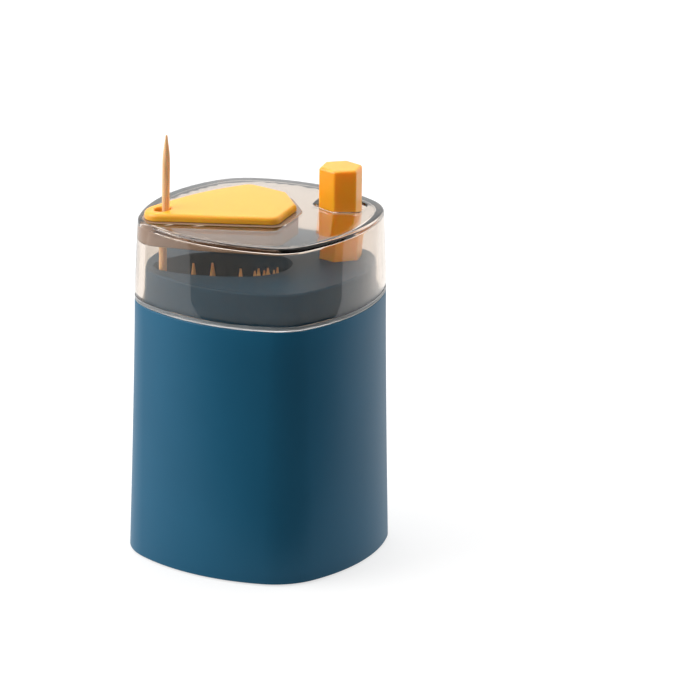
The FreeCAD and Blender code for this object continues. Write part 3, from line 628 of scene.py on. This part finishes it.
def drawn_steel():
    """Bright drawn steel; real lines are finer, and are drawn as coarse as they show."""
    material = new_material("steel")
    place = add(material, "ShaderNodeTexCoord").outputs["Object"]
    along = add(material, "ShaderNodeMapping", {
        "Vector": place, "Scale": (1.0, 1.0, steel_line_squeeze)})
    lines = add(material, "ShaderNodeTexNoise", {
        "Vector": along.outputs["Vector"], "Scale": 1.0 / (steel_line_mm * mm)})
    gloss = add(material, "ShaderNodeMapRange", {
        "Value": lines.outputs["Fac"], "To Min": 0.22, "To Max": 0.4})
    shader = add(material, "ShaderNodeBsdfPrincipled", {
        "Base Color": srgb("#B9BBBD"), "Metallic": 1.0, "Roughness": gloss.outputs["Result"]})
    add(material, "ShaderNodeOutputMaterial", {"Surface": shader.outputs["BSDF"]})
    return material


# Acetal: milky white with a low, waxy sheen.
acetal = moulded_plastic("natural acetal", "#E2E1DA", "#ECEBE5", 0.4)
dress(acetal, "lever_frame", "lift_lever", "lifter")
# Drawn steel: grey metal whose gloss breaks up in fine upright lines.
dress(drawn_steel(), "push_rod", "lever_axle", "axle_clips", "lever_pin", "return_spring",
      "housing_screws", "frame_screws")
# The base plate takes the container's darkened ABS, painted shade included.
dress(shaded_container_plastic, "base_plate")
# Rubber: near black and dull, with a coarse grain.
rubber = moulded_plastic("black rubber", "#1A1A1A", "#222222", 0.7, grain_mm=0.6, grain=0.2)
dress(rubber, "foot_pads")

# Studio.
# Pale floor, and soft light that comes from the back, the sides and above. The camera's side of
# the room is dark, as in the photograph, so that the front of the plastic stays deep.
floor_reach = 3.0
floor_grey, floor_glow = "#9C9C9C", 0.67
photo_side = (-0.222, -0.975, 0.0)
front_share, back_share = 0.9, -0.2
front_strength, back_strength = 0.03, 1.05


def stage_plane(name, x_low, x_high, y_low, y_high, z):
    """A flat sheet that belongs to the studio, not to the object."""
    bm = bmesh.new()
    corners = ((x_low, y_low), (x_high, y_low), (x_high, y_high), (x_low, y_high))
    bm.faces.new([bm.verts.new((x, y, z)) for x, y in corners])
    mesh = bpy.data.meshes.new(name)
    bm.to_mesh(mesh)
    bm.free()
    made = bpy.data.objects.new(name, mesh)
    bpy.context.scene.collection.objects.link(made)
    return made


def make_floor():
    """Pale matt sweep that looks white to the camera, in gloss and through clear plastic."""
    floor = stage_plane("floor", -floor_reach, floor_reach, -floor_reach, floor_reach, 0.0)
    material = new_material("white sweep")
    light = add(material, "ShaderNodeLightPath")
    sharp = add(material, "ShaderNodeMath", {
        0: light.outputs["Is Glossy Ray"], 1: light.outputs["Is Transmission Ray"]},
        operation="MAXIMUM")
    seen = add(material, "ShaderNodeMath", {
        0: light.outputs["Is Camera Ray"], 1: sharp.outputs["Value"]}, operation="MAXIMUM")
    lift = add(material, "ShaderNodeMath", {
        0: seen.outputs["Value"], 1: floor_glow}, operation="MULTIPLY")
    paint = add(material, "ShaderNodeBsdfDiffuse", {"Color": srgb(floor_grey)})
    glow = add(material, "ShaderNodeEmission", {
        "Color": srgb("#FFFFFF"), "Strength": lift.outputs["Value"]})
    both = add(material, "ShaderNodeAddShader", {
        0: paint.outputs["BSDF"], 1: glow.outputs["Emission"]})
    add(material, "ShaderNodeOutputMaterial", {"Surface": both.outputs["Shader"]})
    floor.data.materials.append(material)


def make_reflection_card():
    """Dark card just above the floor in front, seen only in gloss, as the dark room was."""
    card = stage_plane("reflection_card", x_low=-1.4, x_high=1.4, y_low=-2.4, y_high=-0.06,
                       z=0.0005)
    material = new_material("black card")
    paint = add(material, "ShaderNodeBsdfDiffuse", {"Color": srgb("#101010")})
    add(material, "ShaderNodeOutputMaterial", {"Surface": paint.outputs["BSDF"]})
    card.data.materials.append(material)
    card.visible_camera = False
    card.visible_transmission = False
    card.visible_diffuse = False
    card.visible_shadow = False


def make_world():
    """White to the camera and through clear plastic; in gloss and as light on the object,
    bright behind and dark in front."""
    world = bpy.data.worlds.new("studio")
    bpy.context.scene.world = world
    world.use_nodes = True
    world.node_tree.nodes.clear()
    toward = add(world, "ShaderNodeTexCoord").outputs["Generated"]
    front = add(world, "ShaderNodeVectorMath", {0: toward, 1: photo_side}, operation="DOT_PRODUCT")
    cove = add(world, "ShaderNodeMapRange", {
        "Value": front.outputs["Value"], "From Min": front_share, "From Max": back_share,
        "To Min": front_strength, "To Max": back_strength})
    light = add(world, "ShaderNodeLightPath")
    seen = add(world, "ShaderNodeMath", {
        0: light.outputs["Is Camera Ray"], 1: light.outputs["Is Transmission Ray"]},
        operation="MAXIMUM")
    dim = add(world, "ShaderNodeBackground", {
        "Color": srgb("#FFFFFF"), "Strength": cove.outputs["Result"]})
    white = add(world, "ShaderNodeBackground", {"Color": srgb("#FFFFFF"), "Strength": 1.0})
    both = add(world, "ShaderNodeMixShader", {
        0: seen.outputs["Value"], 1: dim.outputs["Background"], 2: white.outputs["Background"]})
    add(world, "ShaderNodeOutputWorld", {"Surface": both.outputs["Shader"]})


def area_light(name, place, target, width, height, watts):
    """A soft rectangular lamp that faces its target."""
    data = bpy.data.lights.new(name, "AREA")
    data.shape = "RECTANGLE"
    data.size, data.size_y, data.energy = width, height, watts
    lamp = bpy.data.objects.new(name, data)
    bpy.context.scene.collection.objects.link(lamp)
    lamp.location = place
    lamp.rotation_mode = "QUATERNION"
    lamp.rotation_quaternion = (Vector(target) - Vector(place)).to_track_quat("-Z", "Y")


def make_camera():
    """The photograph's view: a long lens, the object left of the frame's middle."""
    azimuth, elevation, roll = math.radians(-12.83), math.radians(18.9), math.radians(0.33)
    distance, target = 1.305, Vector((0.0, 0.0, 0.050))
    aim_right, aim_up = math.radians(0.972), math.radians(0.391)
    lens_mm, sensor_mm = 247.7, 36.0
    back = Vector((math.sin(azimuth) * math.cos(elevation),
                   -math.cos(azimuth) * math.cos(elevation),
                   math.sin(elevation)))
    data = bpy.data.cameras.new("camera")
    data.lens, data.sensor_width = lens_mm, sensor_mm
    camera = bpy.data.objects.new("camera", data)
    bpy.context.scene.collection.objects.link(camera)
    camera.location = target + back * distance
    camera.rotation_mode = "QUATERNION"
    look = (-back).to_track_quat("-Z", "Y")
    look = look @ Quaternion((0.0, 1.0, 0.0), -aim_right) @ Quaternion((1.0, 0.0, 0.0), aim_up)
    camera.rotation_quaternion = look @ Quaternion((0.0, 0.0, 1.0), roll)
    bpy.context.scene.camera = camera


make_floor()
make_reflection_card()
make_world()
area_light("left key", (-1.0, 0.1, 0.72), target=(0.0, 0.0, 0.06),
           width=1.0, height=0.9, watts=12.5)
area_light("right fill", (1.0, 0.45, 0.35), target=(0.0, 0.0, 0.06),
           width=0.5, height=0.6, watts=1.3)
area_light("back light", (0.2, 0.8, 1.0), target=(0.0, 0.0, 0.08),
           width=0.8, height=0.5, watts=2.5)
area_light("overhead", (0.0, 0.1, 1.1), target=(0.0, 0.0, 0.0),
           width=0.7, height=0.7, watts=3.0)
make_camera()
bpy.context.scene.view_settings.view_transform = "Standard"
